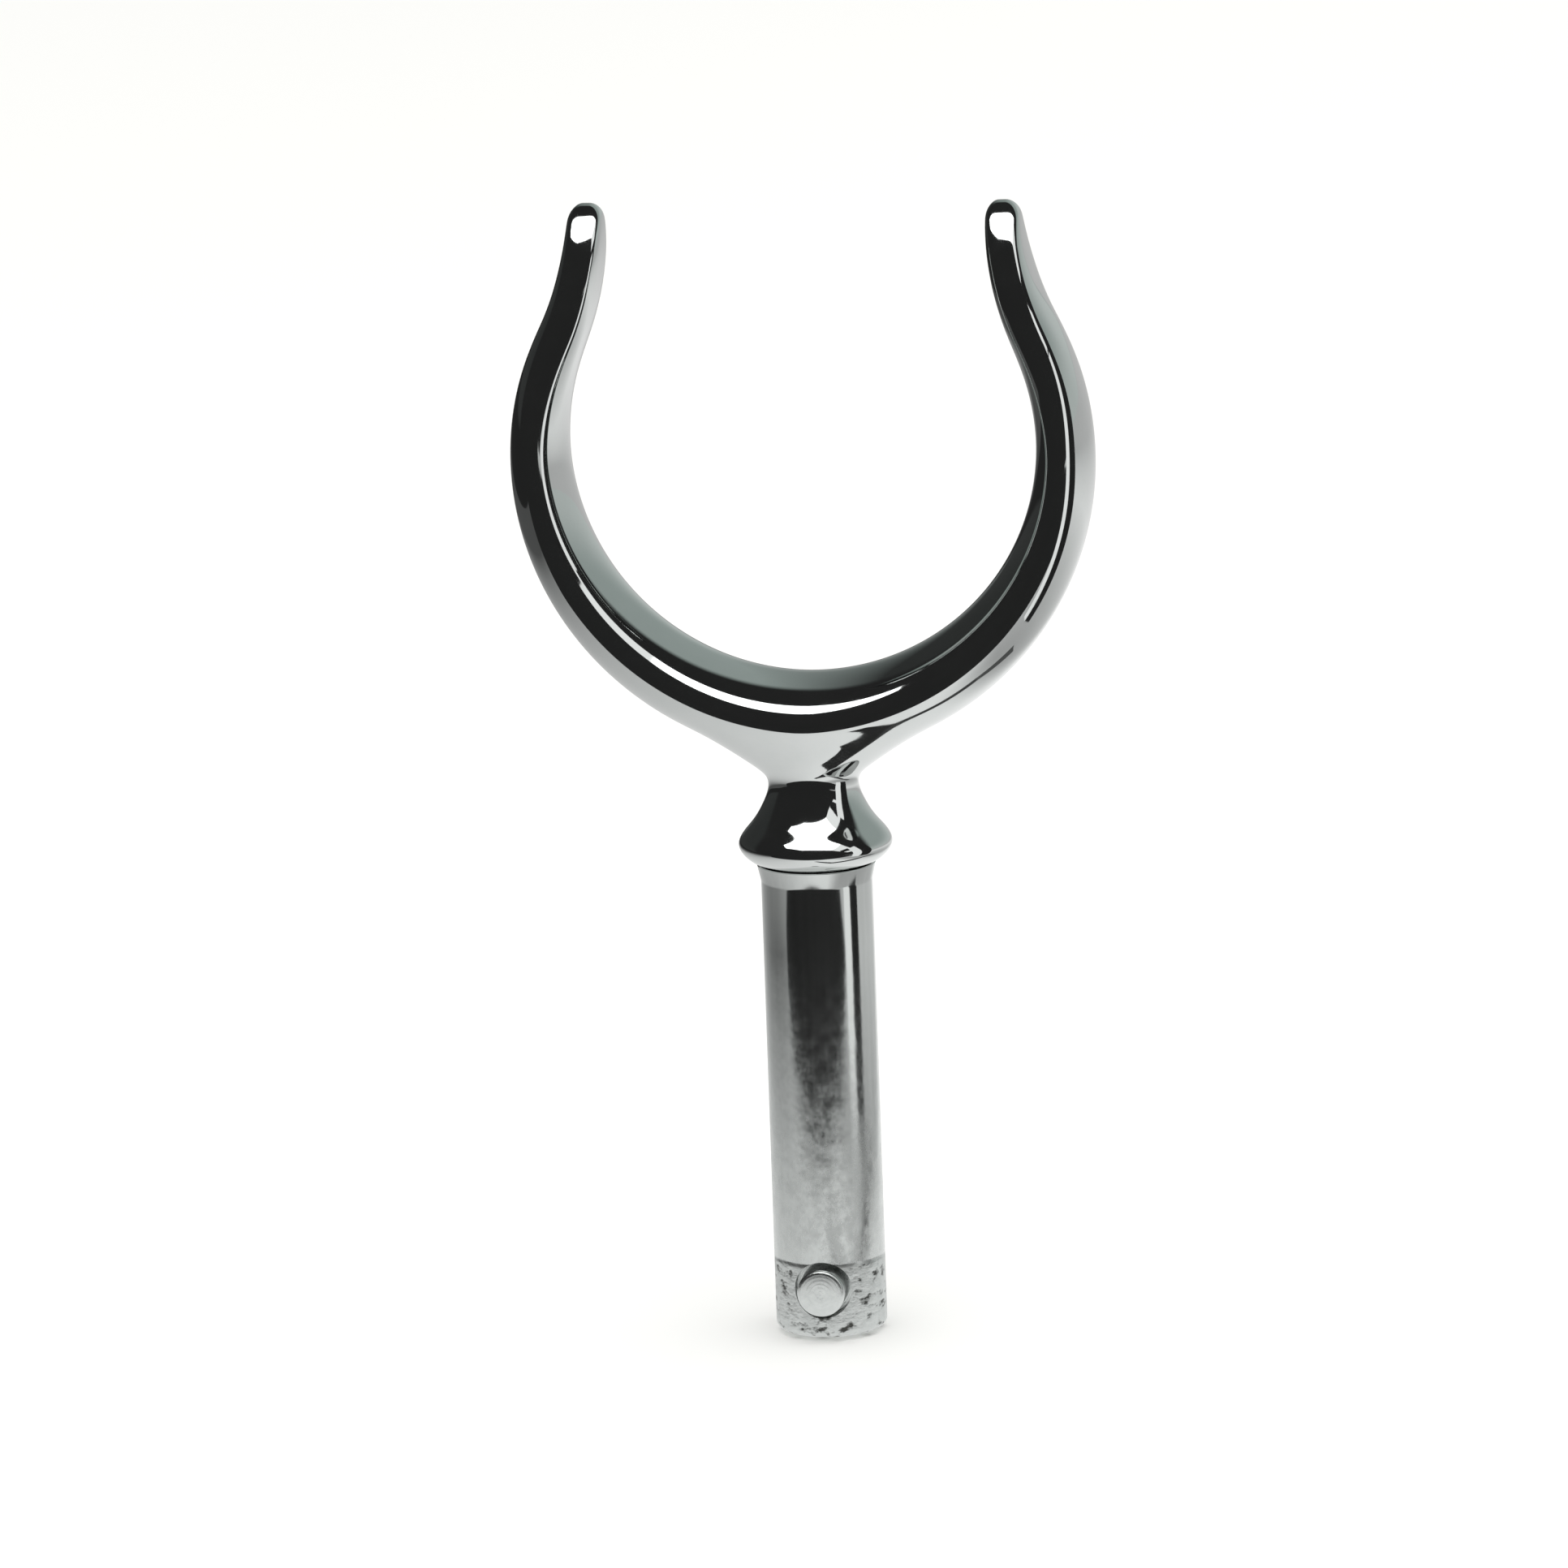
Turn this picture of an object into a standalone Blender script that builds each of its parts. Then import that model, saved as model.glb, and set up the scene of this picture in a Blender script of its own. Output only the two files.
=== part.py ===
# Oarlock horn: a forked casting on a round shank, with a sprung keeper button near the shank's end.
# The origin is on the shank's axis, level with the collar's seat. The oar lies along Y.
import math

import bmesh
import bpy
from mathutils import Vector

MM = 0.001

# Fork: the inner side runs round the bowl, past level, then bends back out to an upright tip
BOWL_RADIUS = 26.8 * MM
BOWL_HEIGHT = 48.4 * MM
WRAP_ANGLE = math.radians(22.9)
FLARE_RADIUS = 37.4 * MM
FLARE_ANGLE = math.radians(22.4)
TIP_LENGTH = 2.6 * MM

# Fork section at the bottom of the bowl, level with its centre and at the tip
THICKNESS = (10.0 * MM, 6.4 * MM, 3.8 * MM)
SIDE_HALF_DEPTH = (7.5 * MM, 7.2 * MM)
SECTION_SQUARENESS = 1.85
BOWL_STATIONS = 20
FLARE_STATIONS = 4
SECTION_POINTS = 20

# Tip, rounded over seen from the side: its half depths at lengths down from the very end, in mm
TIP_DOWN = (9.0, 6.5, 4.8, 3.2, 1.6, 0.87, 0.4, 0.12)
TIP_HALF_DEPTH = (5.2, 4.6, 4.0, 3.2, 2.1, 1.5, 1.0, 0.5)

# Neck web between the fork and the collar
NECK_RADIUS = 5.2 * MM
NECK_HEIGHT = 9.2 * MM
WEB_TOP = 13.6 * MM
WEB_HALF_WIDTH = 11.0 * MM
WEB_FOOT = 7.0 * MM
NECK_HALF_DEPTH = 4.8 * MM
WEB_HALF_DEPTH = 6.1 * MM
WEB_SWEEP = 2.2
WEB_STATIONS = 7

# Collar: a trumpet above a narrow rim, with a flat seat below and a short boss. The trumpet's
# radii and heights, and the pairs of the underside, are in mm from the top down
TRUMPET_RADII = (4.9, 5.1, 5.45, 5.95, 6.52, 7.17, 7.88, 8.45)
TRUMPET_HEIGHTS = (9.6, 8.2, 7.25, 6.3, 5.37, 4.4, 3.45, 2.6)
RIM_RADIUS = 8.7 * MM
RIM_HEIGHT = 1.9 * MM
UNDERSIDE = ((8.55, 1.4), (8.1, 0.7))
SEAT_RADIUS = 7.2 * MM
BOSS_LENGTH = 0.3 * MM

# Shank: a half inch pin with a spigot that stands in the collar's bore
SHANK_RADIUS = 6.35 * MM
SHANK_END = 55.0 * MM
SHANK_END_ROUNDING = 0.9 * MM
SPIGOT_RADIUS = 4.0 * MM
SPIGOT_LENGTH = 6.0 * MM
SPIGOT_CHAMFER = 0.5 * MM

# Keeper: a flanged button in a stepped cross bore, closed at the back by a plug
KEEPER_HEIGHT = -49.3 * MM
BUTTON_RADIUS = 2.75 * MM
BUTTON_ROUNDING = 0.5 * MM
BUTTON_PROUD = 1.6 * MM
FLANGE_RADIUS = 3.6 * MM
FLANGE_THICKNESS = 1.0 * MM
LIP_DEPTH = 2.15 * MM
PLUG_THICKNESS = 1.5 * MM
PLUG_FACE = 5.2 * MM
SPRING_RADIUS = 2.8 * MM
SPRING_WIRE = 0.25 * MM
SPRING_TURNS = 4
SPRING_POINTS_PER_TURN = 10

GAP = 0.3 * MM
ROUND_STEPS = 40
ROUNDING_POINTS = 5
OVERLAP = 2.0 * MM
MERGE = 0.00001
SHARP_ANGLE = math.radians(40)


def clear_scene():
    for item in list(bpy.data.objects):
        bpy.data.objects.remove(item, do_unlink=True)


def new_collection(name):
    collection = bpy.data.collections.new(name)
    bpy.context.scene.collection.children.link(collection)
    return collection


def new_material(name, colour, roughness, metallic):
    material = bpy.data.materials.new(name)
    material.use_nodes = True
    shader = material.node_tree.nodes["Principled BSDF"]
    shader.inputs["Base Color"].default_value = (*colour, 1.0)
    shader.inputs["Roughness"].default_value = roughness
    shader.inputs["Metallic"].default_value = metallic
    return material


def mesh_object(name, shape, collection):
    mesh = bpy.data.meshes.new(name)
    shape.to_mesh(mesh)
    shape.free()
    item = bpy.data.objects.new(name, mesh)
    collection.objects.link(item)
    return item


def shade_round(item):
    item.data.shade_smooth()
    item.data.set_sharp_from_angle(angle=SHARP_ANGLE)


def make_cutter(item):
    item.hide_render = True
    item.display_type = "WIRE"


def arc_points(centre, radius, start, end, count):
    points = []
    for i in range(count):
        angle = math.radians(start + (end - start) * i / (count - 1))
        points.append((centre[0] + radius * math.cos(angle), centre[1] + radius * math.sin(angle)))
    return points


def turned(name, profile, collection, steps=ROUND_STEPS):
    # The profile is a list of (radius, height) from the top of the axis down the outer side
    shape = bmesh.new()
    verts = [shape.verts.new((radius, 0.0, height)) for radius, height in profile]
    for upper, lower in zip(verts, verts[1:]):
        shape.edges.new((upper, lower))
    item = mesh_object(name, shape, collection)
    screw = item.modifiers.new("turn", "SCREW")
    screw.axis = "Z"
    screw.steps = steps
    screw.render_steps = steps
    screw.use_merge_vertices = True
    screw.merge_threshold = MERGE
    screw.use_smooth_shade = True
    return item


def boolean(item, other, operation):
    cut = item.modifiers.new(operation.lower(), "BOOLEAN")
    cut.operation = operation
    cut.object = other
    cut.solver = "EXACT"


def bowl_length():
    return BOWL_RADIUS * (math.pi / 2 + WRAP_ANGLE)


def arm_length():
    return bowl_length() + FLARE_RADIUS * FLARE_ANGLE + TIP_LENGTH


def arm_places():
    # Lengths along the inner side, from the bottom of the bowl, at which the fork has a section
    tip_start = arm_length() - TIP_DOWN[0] * MM
    places = [bowl_length() * i / (BOWL_STATIONS - 1) for i in range(BOWL_STATIONS)]
    for i in range(1, FLARE_STATIONS):
        places.append(bowl_length() + (tip_start - bowl_length()) * i / FLARE_STATIONS)
    return places + [arm_length() - down * MM for down in TIP_DOWN]


def arm_point(place):
    # The point on the inner side in the XZ plane and the heading there
    bowl_end = math.pi / 2 + WRAP_ANGLE
    heading = min(place, bowl_length()) / BOWL_RADIUS
    point = Vector((math.sin(heading), -math.cos(heading))) * BOWL_RADIUS + Vector((0.0, BOWL_HEIGHT))
    if place > bowl_length():
        heading = bowl_end - min((place - bowl_length()) / FLARE_RADIUS, FLARE_ANGLE)
        x = math.sin(bowl_end) - math.sin(heading)
        z = math.cos(heading) - math.cos(bowl_end)
        point += Vector((x, z)) * FLARE_RADIUS
    straight = max(0.0, place - arm_length() + TIP_LENGTH)
    return point + Vector((math.cos(heading), math.sin(heading))) * straight, heading


def half_depth_at(place):
    level = BOWL_RADIUS * math.pi / 2
    down = arm_length() - place
    for length, half_depth in zip(TIP_DOWN, TIP_HALF_DEPTH):
        if abs(down - length * MM) < MERGE:
            return half_depth * MM
    bottom, side = SIDE_HALF_DEPTH
    if place <= level:
        return bottom + (side - bottom) * place / level
    part = (place - level) / (arm_length() - TIP_DOWN[0] * MM - level)
    return side + (TIP_HALF_DEPTH[0] * MM - side) * part


def thickness_at(place):
    level = BOWL_RADIUS * math.pi / 2
    bottom, side, tip = THICKNESS
    if place <= level:
        return bottom + (side - bottom) * place / level
    return side + (tip - side) * (place - level) / (arm_length() - level)


def tip_shrink(place, thickness):
    # Seen from the front the arm ends in a half circle
    short = max(0.0, 1.0 - (arm_length() - place) / (thickness / 2))
    return math.sqrt(1.0 - short * short)


def section_point(angle, thickness, half_depth):
    # An oval a little more pointed than an ellipse, as (distance from the inner side, depth)
    across = math.cos(angle)
    along = math.sin(angle)
    power = 2.0 / SECTION_SQUARENESS
    half = thickness / 2
    outward = half + math.copysign(abs(across) ** power, across) * half
    depth = math.copysign(abs(along) ** power, along) * half_depth
    return outward, depth


def section_ring(shape, place):
    point, heading = arm_point(place)
    outside = Vector((math.sin(heading), -math.cos(heading)))
    thickness = thickness_at(place)
    shrink = tip_shrink(place, thickness)
    half_depth = half_depth_at(place)
    ring = []
    for i in range(SECTION_POINTS):
        angle = 2 * math.pi * i / SECTION_POINTS
        outward, depth = section_point(angle, thickness, half_depth)
        outward = thickness / 2 + (outward - thickness / 2) * shrink
        spot = point + outside * outward
        ring.append(shape.verts.new((spot.x, depth, spot.y)))
    return ring


def bridge(shape, rings):
    for lower, upper in zip(rings, rings[1:]):
        count = len(lower)
        for i in range(count):
            j = (i + 1) % count
            shape.faces.new((lower[i], lower[j], upper[j], upper[i]))


def build_fork(collection):
    shape = bmesh.new()
    rings = [section_ring(shape, place) for place in arm_places()]
    bridge(shape, rings)
    shape.faces.new(rings[-1])
    bmesh.ops.recalc_face_normals(shape, faces=shape.faces)
    fork = mesh_object("horn_casting", shape, collection)
    mirror = fork.modifiers.new("second arm", "MIRROR")
    mirror.use_axis = (True, False, False)
    mirror.use_clip = True
    mirror.merge_threshold = MERGE
    return fork


def build_web(collection):
    # A round neck that spreads sideways under the fork, one ring at each height
    shape = bmesh.new()
    rings = []
    heights = [WEB_FOOT, NECK_HEIGHT]
    widths = [NECK_RADIUS, NECK_RADIUS]
    depths = [NECK_HALF_DEPTH, NECK_HALF_DEPTH]
    for i in range(1, WEB_STATIONS + 1):
        part = i / WEB_STATIONS
        heights.append(NECK_HEIGHT + (WEB_TOP - NECK_HEIGHT) * part)
        widths.append(NECK_RADIUS + (WEB_HALF_WIDTH - NECK_RADIUS) * part ** WEB_SWEEP)
        depths.append(NECK_HALF_DEPTH + (WEB_HALF_DEPTH - NECK_HALF_DEPTH) * part)
    heights.append(WEB_TOP + OVERLAP)
    widths.append(WEB_HALF_WIDTH)
    depths.append(WEB_HALF_DEPTH)
    for height, half_width, half_depth in zip(heights, widths, depths):
        ring = []
        for i in range(ROUND_STEPS):
            angle = 2 * math.pi * i / ROUND_STEPS
            depth = half_depth * math.sin(angle)
            ring.append(shape.verts.new((half_width * math.cos(angle), depth, height)))
        rings.append(ring)
    bridge(shape, rings)
    shape.faces.new(rings[0])
    shape.faces.new(rings[-1])
    bmesh.ops.recalc_face_normals(shape, faces=shape.faces)
    return mesh_object("neck_web", shape, collection)


def build_collar(collection):
    profile = [(0.0, TRUMPET_HEIGHTS[0] * MM)]
    profile += [(radius * MM, height * MM) for radius, height in zip(TRUMPET_RADII, TRUMPET_HEIGHTS)]
    profile += [(RIM_RADIUS, RIM_HEIGHT)]
    profile += [(radius * MM, height * MM) for radius, height in UNDERSIDE]
    profile += [(SEAT_RADIUS, 0.0), (SHANK_RADIUS, 0.0), (SHANK_RADIUS, -BOSS_LENGTH), (0.0, -BOSS_LENGTH)]
    return turned("collar", profile, collection)


def build_horn(parts, cutters):
    horn = build_fork(parts)
    web = build_web(cutters)
    collar = build_collar(cutters)
    radius = SPIGOT_RADIUS + GAP
    top = SPIGOT_LENGTH + GAP
    bottom = -BOSS_LENGTH - OVERLAP
    bore = turned("spigot_bore", [(0.0, top), (radius, top), (radius, bottom), (0.0, bottom)], cutters)
    for other, operation in ((web, "UNION"), (collar, "UNION"), (bore, "DIFFERENCE")):
        make_cutter(other)
        boolean(horn, other, operation)
    shade_round(horn)
    horn.data.materials.append(new_material("polished chrome", (0.78, 0.79, 0.80), 0.06, 1.0))


def build_shank(parts, cutters):
    shoulder = -BOSS_LENGTH - GAP
    end_centre = (SHANK_RADIUS - SHANK_END_ROUNDING, -SHANK_END + SHANK_END_ROUNDING)
    profile = [(0.0, SPIGOT_LENGTH), (SPIGOT_RADIUS - SPIGOT_CHAMFER, SPIGOT_LENGTH)]
    profile += [(SPIGOT_RADIUS, SPIGOT_LENGTH - SPIGOT_CHAMFER), (SPIGOT_RADIUS, shoulder)]
    profile += [(SHANK_RADIUS, shoulder)]
    profile += arc_points(end_centre, SHANK_END_ROUNDING, 0.0, -90.0, ROUNDING_POINTS)
    profile += [(0.0, -SHANK_END)]
    shank = turned("shank", profile, parts)
    # The stepped bore: narrow behind the front lip, wide from there out of the back
    narrow = BUTTON_RADIUS + GAP
    wide = FLANGE_RADIUS + GAP
    front = SHANK_RADIUS + OVERLAP
    step = SHANK_RADIUS - LIP_DEPTH
    steps = [(0.0, front), (narrow, front), (narrow, step), (wide, step), (wide, -front), (0.0, -front)]
    bore = turned("keeper_bore", steps, cutters)
    lay_along_y(bore)
    make_cutter(bore)
    boolean(shank, bore, "DIFFERENCE")
    shank.data.materials.append(new_material("dull plated steel", (0.62, 0.63, 0.63), 0.32, 1.0))


def lay_along_y(item):
    # The turned piece's top faces the front of the shank, at the keeper's height
    item.rotation_euler = (math.pi / 2, 0.0, 0.0)
    item.location = (0.0, 0.0, KEEPER_HEIGHT)


def build_button(parts):
    face = SHANK_RADIUS + BUTTON_PROUD
    flange_front = SHANK_RADIUS - LIP_DEPTH - GAP
    flange_back = flange_front - FLANGE_THICKNESS
    edge = (BUTTON_RADIUS - BUTTON_ROUNDING, face - BUTTON_ROUNDING)
    profile = [(0.0, face)] + arc_points(edge, BUTTON_ROUNDING, 90.0, 0.0, ROUNDING_POINTS)
    profile += [(BUTTON_RADIUS, flange_front), (FLANGE_RADIUS, flange_front)]
    profile += [(FLANGE_RADIUS, flange_back), (0.0, flange_back)]
    button = turned("keeper_button", profile, parts)
    lay_along_y(button)
    button.data.materials.append(new_material("bright pin steel", (0.70, 0.71, 0.71), 0.25, 1.0))
    return flange_back


def build_plug(parts):
    inner = -PLUG_FACE + PLUG_THICKNESS
    chamfer = SPIGOT_CHAMFER
    profile = [(0.0, inner), (FLANGE_RADIUS, inner), (FLANGE_RADIUS, -PLUG_FACE + chamfer)]
    profile += [(FLANGE_RADIUS - chamfer, -PLUG_FACE), (0.0, -PLUG_FACE)]
    plug = turned("keeper_plug", profile, parts)
    lay_along_y(plug)
    plug.data.materials.append(new_material("plain steel", (0.55, 0.55, 0.54), 0.4, 1.0))
    return inner


def build_spring(parts, seat, foot):
    # One unbroken helix from the button's flange to the plug
    top = seat - GAP - SPRING_WIRE
    bottom = foot + GAP + SPRING_WIRE
    count = SPRING_TURNS * SPRING_POINTS_PER_TURN
    points = []
    for i in range(count + 1):
        angle = 2 * math.pi * i / SPRING_POINTS_PER_TURN
        along = top + (bottom - top) * i / count
        points.append(Vector((SPRING_RADIUS * math.cos(angle), SPRING_RADIUS * math.sin(angle), along)))
    curve = bpy.data.curves.new("keeper_spring", "CURVE")
    curve.dimensions = "3D"
    curve.bevel_depth = SPRING_WIRE
    curve.bevel_resolution = 1
    curve.use_fill_caps = True
    spline = curve.splines.new("POLY")
    spline.points.add(count)
    for place, point in zip(spline.points, points):
        place.co = (*point, 1.0)
    spring = bpy.data.objects.new("keeper_spring", curve)
    parts.objects.link(spring)
    lay_along_y(spring)
    curve.materials.append(new_material("spring wire", (0.5, 0.5, 0.5), 0.3, 1.0))
    turn = SPRING_POINTS_PER_TURN
    apart = min((a - b).length for i, a in enumerate(points) for b in points[i + turn // 2:])
    print("keeper_spring least gap to itself: %.2f mm" % ((apart - 2 * SPRING_WIRE) / MM))


def main():
    clear_scene()
    parts = new_collection("oarlock_horn")
    cutters = new_collection("oarlock_horn_cutters")
    build_horn(parts, cutters)
    build_shank(parts, cutters)
    seat = build_button(parts)
    foot = build_plug(parts)
    build_spring(parts, seat, foot)


main()
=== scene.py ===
import math

import bmesh
import bpy
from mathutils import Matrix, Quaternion, Vector


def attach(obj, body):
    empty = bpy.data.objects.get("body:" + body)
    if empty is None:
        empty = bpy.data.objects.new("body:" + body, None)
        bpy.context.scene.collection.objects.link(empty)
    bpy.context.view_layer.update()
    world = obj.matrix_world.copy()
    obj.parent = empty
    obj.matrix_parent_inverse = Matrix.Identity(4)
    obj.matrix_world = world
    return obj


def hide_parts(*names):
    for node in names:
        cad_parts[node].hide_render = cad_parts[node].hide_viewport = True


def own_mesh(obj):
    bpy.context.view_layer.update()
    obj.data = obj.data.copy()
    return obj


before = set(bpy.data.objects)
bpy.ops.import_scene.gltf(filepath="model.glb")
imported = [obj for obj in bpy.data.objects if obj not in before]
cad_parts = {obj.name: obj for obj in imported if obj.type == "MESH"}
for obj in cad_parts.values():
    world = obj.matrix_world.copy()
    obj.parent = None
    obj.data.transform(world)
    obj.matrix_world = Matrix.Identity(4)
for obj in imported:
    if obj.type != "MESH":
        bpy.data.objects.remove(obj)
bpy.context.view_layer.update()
mm = 0.001
slack = 0.01  # mm, when places are compared
turnedSharp = 35  # degrees, edges of the turned pieces that are sharper stay sharp
print("frame loaded:", ", ".join(sorted(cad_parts)))


def linearColour(hexText):
    # sRGB hex to the linear colour that shaders take
    parts = [int(hexText[i:i + 2], 16) / 255 for i in (1, 3, 5)]
    linear = [c / 12.92 if c <= 0.04045 else ((c + 0.055) / 1.055) ** 2.4 for c in parts]
    return (*linear, 1.0)


def addNode(tree, kind, settings=None, **links):
    # settings are the node's own values, links are its inputs: a socket to link from or a plain value
    node = tree.nodes.new(kind)
    for key, value in (settings or {}).items():
        setattr(node, key, value)
    for key, value in links.items():
        name = key.replace("_", " ")
        socket = node.inputs[int(name[3:])] if name.startswith("in ") else node.inputs[name]
        if isinstance(value, bpy.types.NodeSocket):
            tree.links.new(value, socket)
        else:
            socket.default_value = value
    return node


def newMaterial(name):
    material = bpy.data.materials.new(name)
    material.use_nodes = True
    return material, material.node_tree, material.node_tree.nodes["Principled BSDF"]


def deselectAll():
    if bpy.context.mode != "OBJECT":
        bpy.ops.object.mode_set(mode="OBJECT")
    bpy.ops.object.select_all(action="DESELECT")


def startRing(name, points, centre, tilt):
    # an open circle of radius 1 m in edit mode, all selected, ready to be sized and pulled out
    deselectAll()
    bpy.ops.mesh.primitive_circle_add(vertices=points, radius=1.0, location=centre, rotation=tilt)
    piece = bpy.context.active_object
    piece.name = name
    piece.data.name = name
    bpy.ops.object.transform_apply(location=True, rotation=True, scale=True)
    bpy.ops.object.mode_set(mode="EDIT")
    bpy.ops.mesh.select_mode(type="VERT")
    bpy.ops.mesh.select_all(action="SELECT")
    return piece


def pullRing(move, centre, grow, turn=0.0):
    # the selected ring is extruded, turned about Y and sized about its new centre
    bpy.ops.mesh.extrude_region_move(TRANSFORM_OT_translate={"value": move})
    if turn:
        bpy.ops.transform.rotate(value=turn, orient_axis="Y", center_override=centre)
    bpy.ops.transform.resize(value=grow, center_override=centre)


def pullProfile(profile, along):
    # profile is (radius, distance) pairs in mm; the ring in hand is already at the first of them
    for (r0, d0), (r1, d1) in zip(profile, profile[1:]):
        centre = along(d1 * mm)
        grow = [r1 / r0] * 3
        pullRing(centre - along(d0 * mm), centre, grow)


def shankPlace(distance):
    return Vector((0, 0, distance))


def closeRing():
    # the ring in hand is pulled together into one point
    bpy.ops.mesh.extrude_region_move(TRANSFORM_OT_translate={"value": (0, 0, 0)})
    bpy.ops.mesh.merge(type="CENTER")


def pickVerts(piece, test):
    shape = bmesh.from_edit_mesh(piece.data)
    bpy.ops.mesh.select_all(action="DESELECT")
    for vert in shape.verts:
        vert.select_set(test(vert.co))
    shape.select_flush_mode()
    bmesh.update_edit_mesh(piece.data)


def endPiece(piece, sharpAngle=None):
    # doubles merged, faces outwards, smooth shading
    bpy.ops.mesh.select_all(action="SELECT")
    bpy.ops.mesh.remove_doubles(threshold=slack / 5 * mm)
    bpy.ops.mesh.normals_make_consistent(inside=False)
    bpy.ops.object.mode_set(mode="OBJECT")
    if sharpAngle is None:
        bpy.ops.object.shade_smooth()
    else:
        bpy.ops.object.shade_smooth_by_angle(angle=math.radians(sharpAngle))


def useModifier(piece, kind, **settings):
    modifier = piece.modifiers.new(kind.lower(), kind)
    for key, value in settings.items():
        setattr(modifier, key, value)
    bpy.context.view_layer.objects.active = piece
    bpy.ops.object.modifier_apply(modifier=modifier.name)


def finishPiece(piece, material, body, node):
    piece.data.materials.clear()
    piece.data.materials.append(material)
    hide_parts(node)
    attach(piece, body)
    print(piece.name, "done,", sum(len(p.vertices) - 2 for p in piece.data.polygons), "triangles")


# camera: the photo's angle, from the front and a little to the right and above
view = {
    "place": (183.85, -1163.31, 269.99),  # mm
    "aim": (-2.39, -6.31, 9.98),
    "lens": 243.94, "sensor": 36.0,  # mm
    "farthest": 50.0,  # m
    "lean": 2.011,  # degrees that the camera is turned clockwise
}


def makeCamera():
    camera = bpy.data.cameras.new("photoCamera")
    camera.lens = view["lens"]
    camera.sensor_width = view["sensor"]
    camera.clip_end = view["farthest"]
    holder = bpy.data.objects.new("photoCamera", camera)
    bpy.context.scene.collection.objects.link(holder)
    place = Vector(view["place"]) * mm
    look = Vector(view["aim"]) * mm - place
    roll = Quaternion((0, 0, 1), -math.radians(view["lean"]))
    holder.location = place
    holder.rotation_mode = "QUATERNION"
    holder.rotation_quaternion = look.to_track_quat("-Z", "Y") @ roll
    bpy.context.scene.camera = holder


makeCamera()
print("camera set")


def finishMetal(tree, shader, colour, roughness, normal):
    tree.links.new(colour, shader.inputs["Base Color"])
    tree.links.new(roughness, shader.inputs["Roughness"])
    tree.links.new(normal, shader.inputs["Normal"])
    shader.inputs["Metallic"].default_value = 1.0


# polished chrome plate over a cast body: a mirror, bright where it faces the strip light and the table and
# black where it faces the open room, with slow waves left by the polishing wheel
chromePlate = {
    "bright": "#d3d5d4", "dim": "#cbcfcd",
    "waveSize": 9, "waveHeight": 0.02,  # mm, the polishing waves
    "hazeSize": 3, "hazeSpan": (0.35, 0.75),  # mm, haze with finer wheel marks in it, from weak to full
    "roughness": (0.03, 0.085),  # where the plate is clear and where it is hazy
}


def makeChromePlate():
    material, tree, shader = newMaterial("polishedChromePlate")
    place = addNode(tree, "ShaderNodeTexCoord").outputs["Object"]
    waves = addNode(tree, "ShaderNodeTexNoise", Vector=place, Scale=1 / (chromePlate["waveSize"] * mm),
                    Detail=1.0, Roughness=0.4)
    haze = addNode(tree, "ShaderNodeTexNoise", Vector=place, Scale=1 / (chromePlate["hazeSize"] * mm),
                   Detail=5.0, Roughness=0.65)
    start, full = chromePlate["hazeSpan"]
    clear, hazy = chromePlate["roughness"]
    rough = addNode(tree, "ShaderNodeMapRange", Value=haze.outputs["Fac"], From_Min=start, From_Max=full,
                    To_Min=clear, To_Max=hazy)
    tint = addNode(tree, "ShaderNodeMix", {"data_type": "RGBA"}, Factor=haze.outputs["Fac"],
                   A=linearColour(chromePlate["bright"]), B=linearColour(chromePlate["dim"]))
    bump = addNode(tree, "ShaderNodeBump", Height=waves.outputs["Fac"], Strength=1.0,
                   Distance=chromePlate["waveHeight"] * mm)
    finishMetal(tree, shader, tint.outputs["Result"], rough.outputs["Result"], bump.outputs["Normal"])
    return material


# plated bar steel, worn dull and streaked by its socket, with a rough unpolished end
dullPlate = {
    "dim": "#c2c6c4", "bright": "#d0d3d1", "grime": "#4a4b48",
    "worn": (-6, -38),  # mm, heights where the wear starts and is full
    "roughness": (0.05, 0.14),  # where the plate is bright and where it is worn
    # sizes of the marks in mm; Z is their scale up the bar, drawn out below 1 and flattened above it
    "streakWidth": 0.7, "streakZ": 0.06, "streakRoughness": 0.07,
    "scuffSize": 2, "scuffZ": 0.7, "scuffHeight": 0.06,
    "speckSize": 1.2, "speckSpan": (0.36, 0.75), "speckRoughness": 0.24,  # rubbed specks, gone matt
    "pitSize": 1.8, "pitZ": 1.8, "pitHeight": 0.22, "grimeSpan": (0.47, 0.33),  # casting pits, grime in them
    "end": (-46.2, -46.9), "endRoughness": 0.2,  # mm, heights between which the rough end starts
}


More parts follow.
